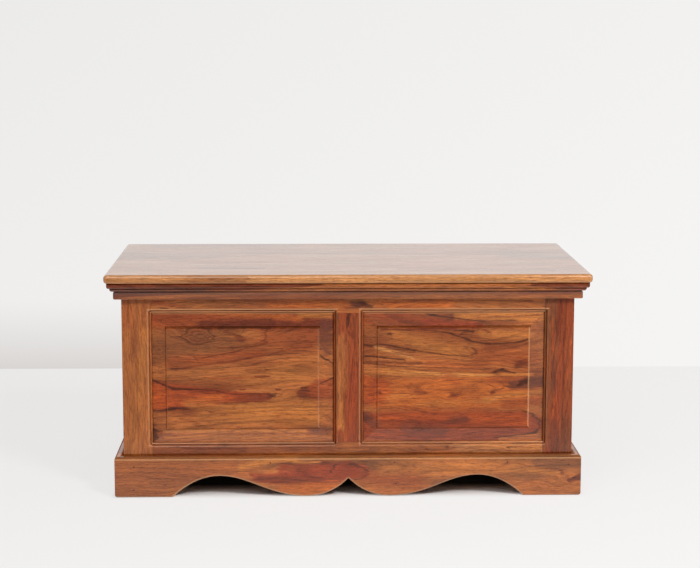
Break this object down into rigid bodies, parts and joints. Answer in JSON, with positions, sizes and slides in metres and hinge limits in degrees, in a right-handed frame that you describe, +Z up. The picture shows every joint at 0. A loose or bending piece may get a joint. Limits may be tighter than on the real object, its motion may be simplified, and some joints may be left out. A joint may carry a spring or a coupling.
{
  "type": "blanket chest",
  "caption": "Frame-and-panel hardwood chest with raised fielded panels, a flat overhanging hinged lid on slotted stays, a stepped cornice and a scalloped bracket plinth.",
  "frame": {"origin": "on the floor, under the middle of the chest's bounding box with the lid closed", "axes": "+Z up, -Y out of the front with the two raised panels, +X to the right seen from the front, along the chest"},
  "size_m": [1.1, 0.5684, 0.5155],
  "materials": {
    "show_wood": "satin lacquer",
    "inside_wood": "bare, sanded",
    "brass": "satin",
    "steel": "zinc plated"
  },
  "bodies": {
    "carcase": {"front_post_left": "show_wood", "front_post_right": "show_wood", "back_post_left": "show_wood", "back_post_right": "show_wood", "front_top_rail": "show_wood", "front_bottom_rail": "show_wood", "back_top_rail": "show_wood", "back_bottom_rail": "show_wood", "left_top_rail": "show_wood", "left_bottom_rail": "show_wood", "right_top_rail": "show_wood", "right_bottom_rail": "show_wood", "front_muntin": "show_wood", "back_muntin": "show_wood", "front_panel_left": "show_wood", "front_panel_right": "show_wood", "left_panel": "show_wood", "right_panel": "show_wood", "back_panel_left": "inside_wood", "back_panel_right": "inside_wood", "cornice_front": "show_wood", "cornice_left": "show_wood", "cornice_right": "show_wood", "plinth_front": "show_wood", "plinth_left": "show_wood", "plinth_right": "show_wood", "cleat_front": "inside_wood", "cleat_back": "inside_wood", "cleat_left": "inside_wood", "cleat_right": "inside_wood", "bottom_board_1": "inside_wood", "bottom_board_2": "inside_wood", "bottom_board_3": "inside_wood", "bottom_board_4": "inside_wood", "bottom_board_5": "inside_wood", "bottom_board_6": "inside_wood", "hinge_left_fixed_leaf": "brass", "hinge_left_pin": "brass", "hinge_right_fixed_leaf": "brass", "hinge_right_pin": "brass", "stay_left_stud": "steel", "stay_right_stud": "steel"},
    "lid": {"lid_top": "show_wood", "lid_batten_left": "inside_wood", "lid_batten_middle": "inside_wood", "lid_batten_right": "inside_wood", "hinge_left_lid_leaf": "brass", "hinge_right_lid_leaf": "brass", "stay_left_bracket": "steel", "stay_left_rivet": "steel", "stay_right_bracket": "steel", "stay_right_rivet": "steel"},
    "stay_arm_left": {"stay_left_arm": "steel"},
    "stay_arm_right": {"stay_right_arm": "steel"}
  },
  "joints": [
    {"name": "lid_hinge", "type": "hinge", "parent": "carcase", "child": "lid", "pos_m": [0, 0.2797, 0.49535], "axis": [-1, 0, 0], "range_deg": [0, 95]},
    {"name": "stay_swing_left", "type": "hinge", "parent": "lid", "child": "stay_arm_left", "pos_m": [-0.4831, 0.11005, 0.4845], "axis": [-1, 0, 0], "range_deg": [-47.5, 0]},
    {"name": "stay_swing_right", "type": "hinge", "parent": "lid", "child": "stay_arm_right", "pos_m": [0.4831, 0.11005, 0.4845], "axis": [-1, 0, 0], "range_deg": [-47.5, 0]}
  ],
  "couplings": [
    {"joint": "stay_swing_left", "follows": "lid_hinge", "ratio": -0.5},
    {"joint": "stay_swing_right", "follows": "lid_hinge", "ratio": -0.5}
  ]
}
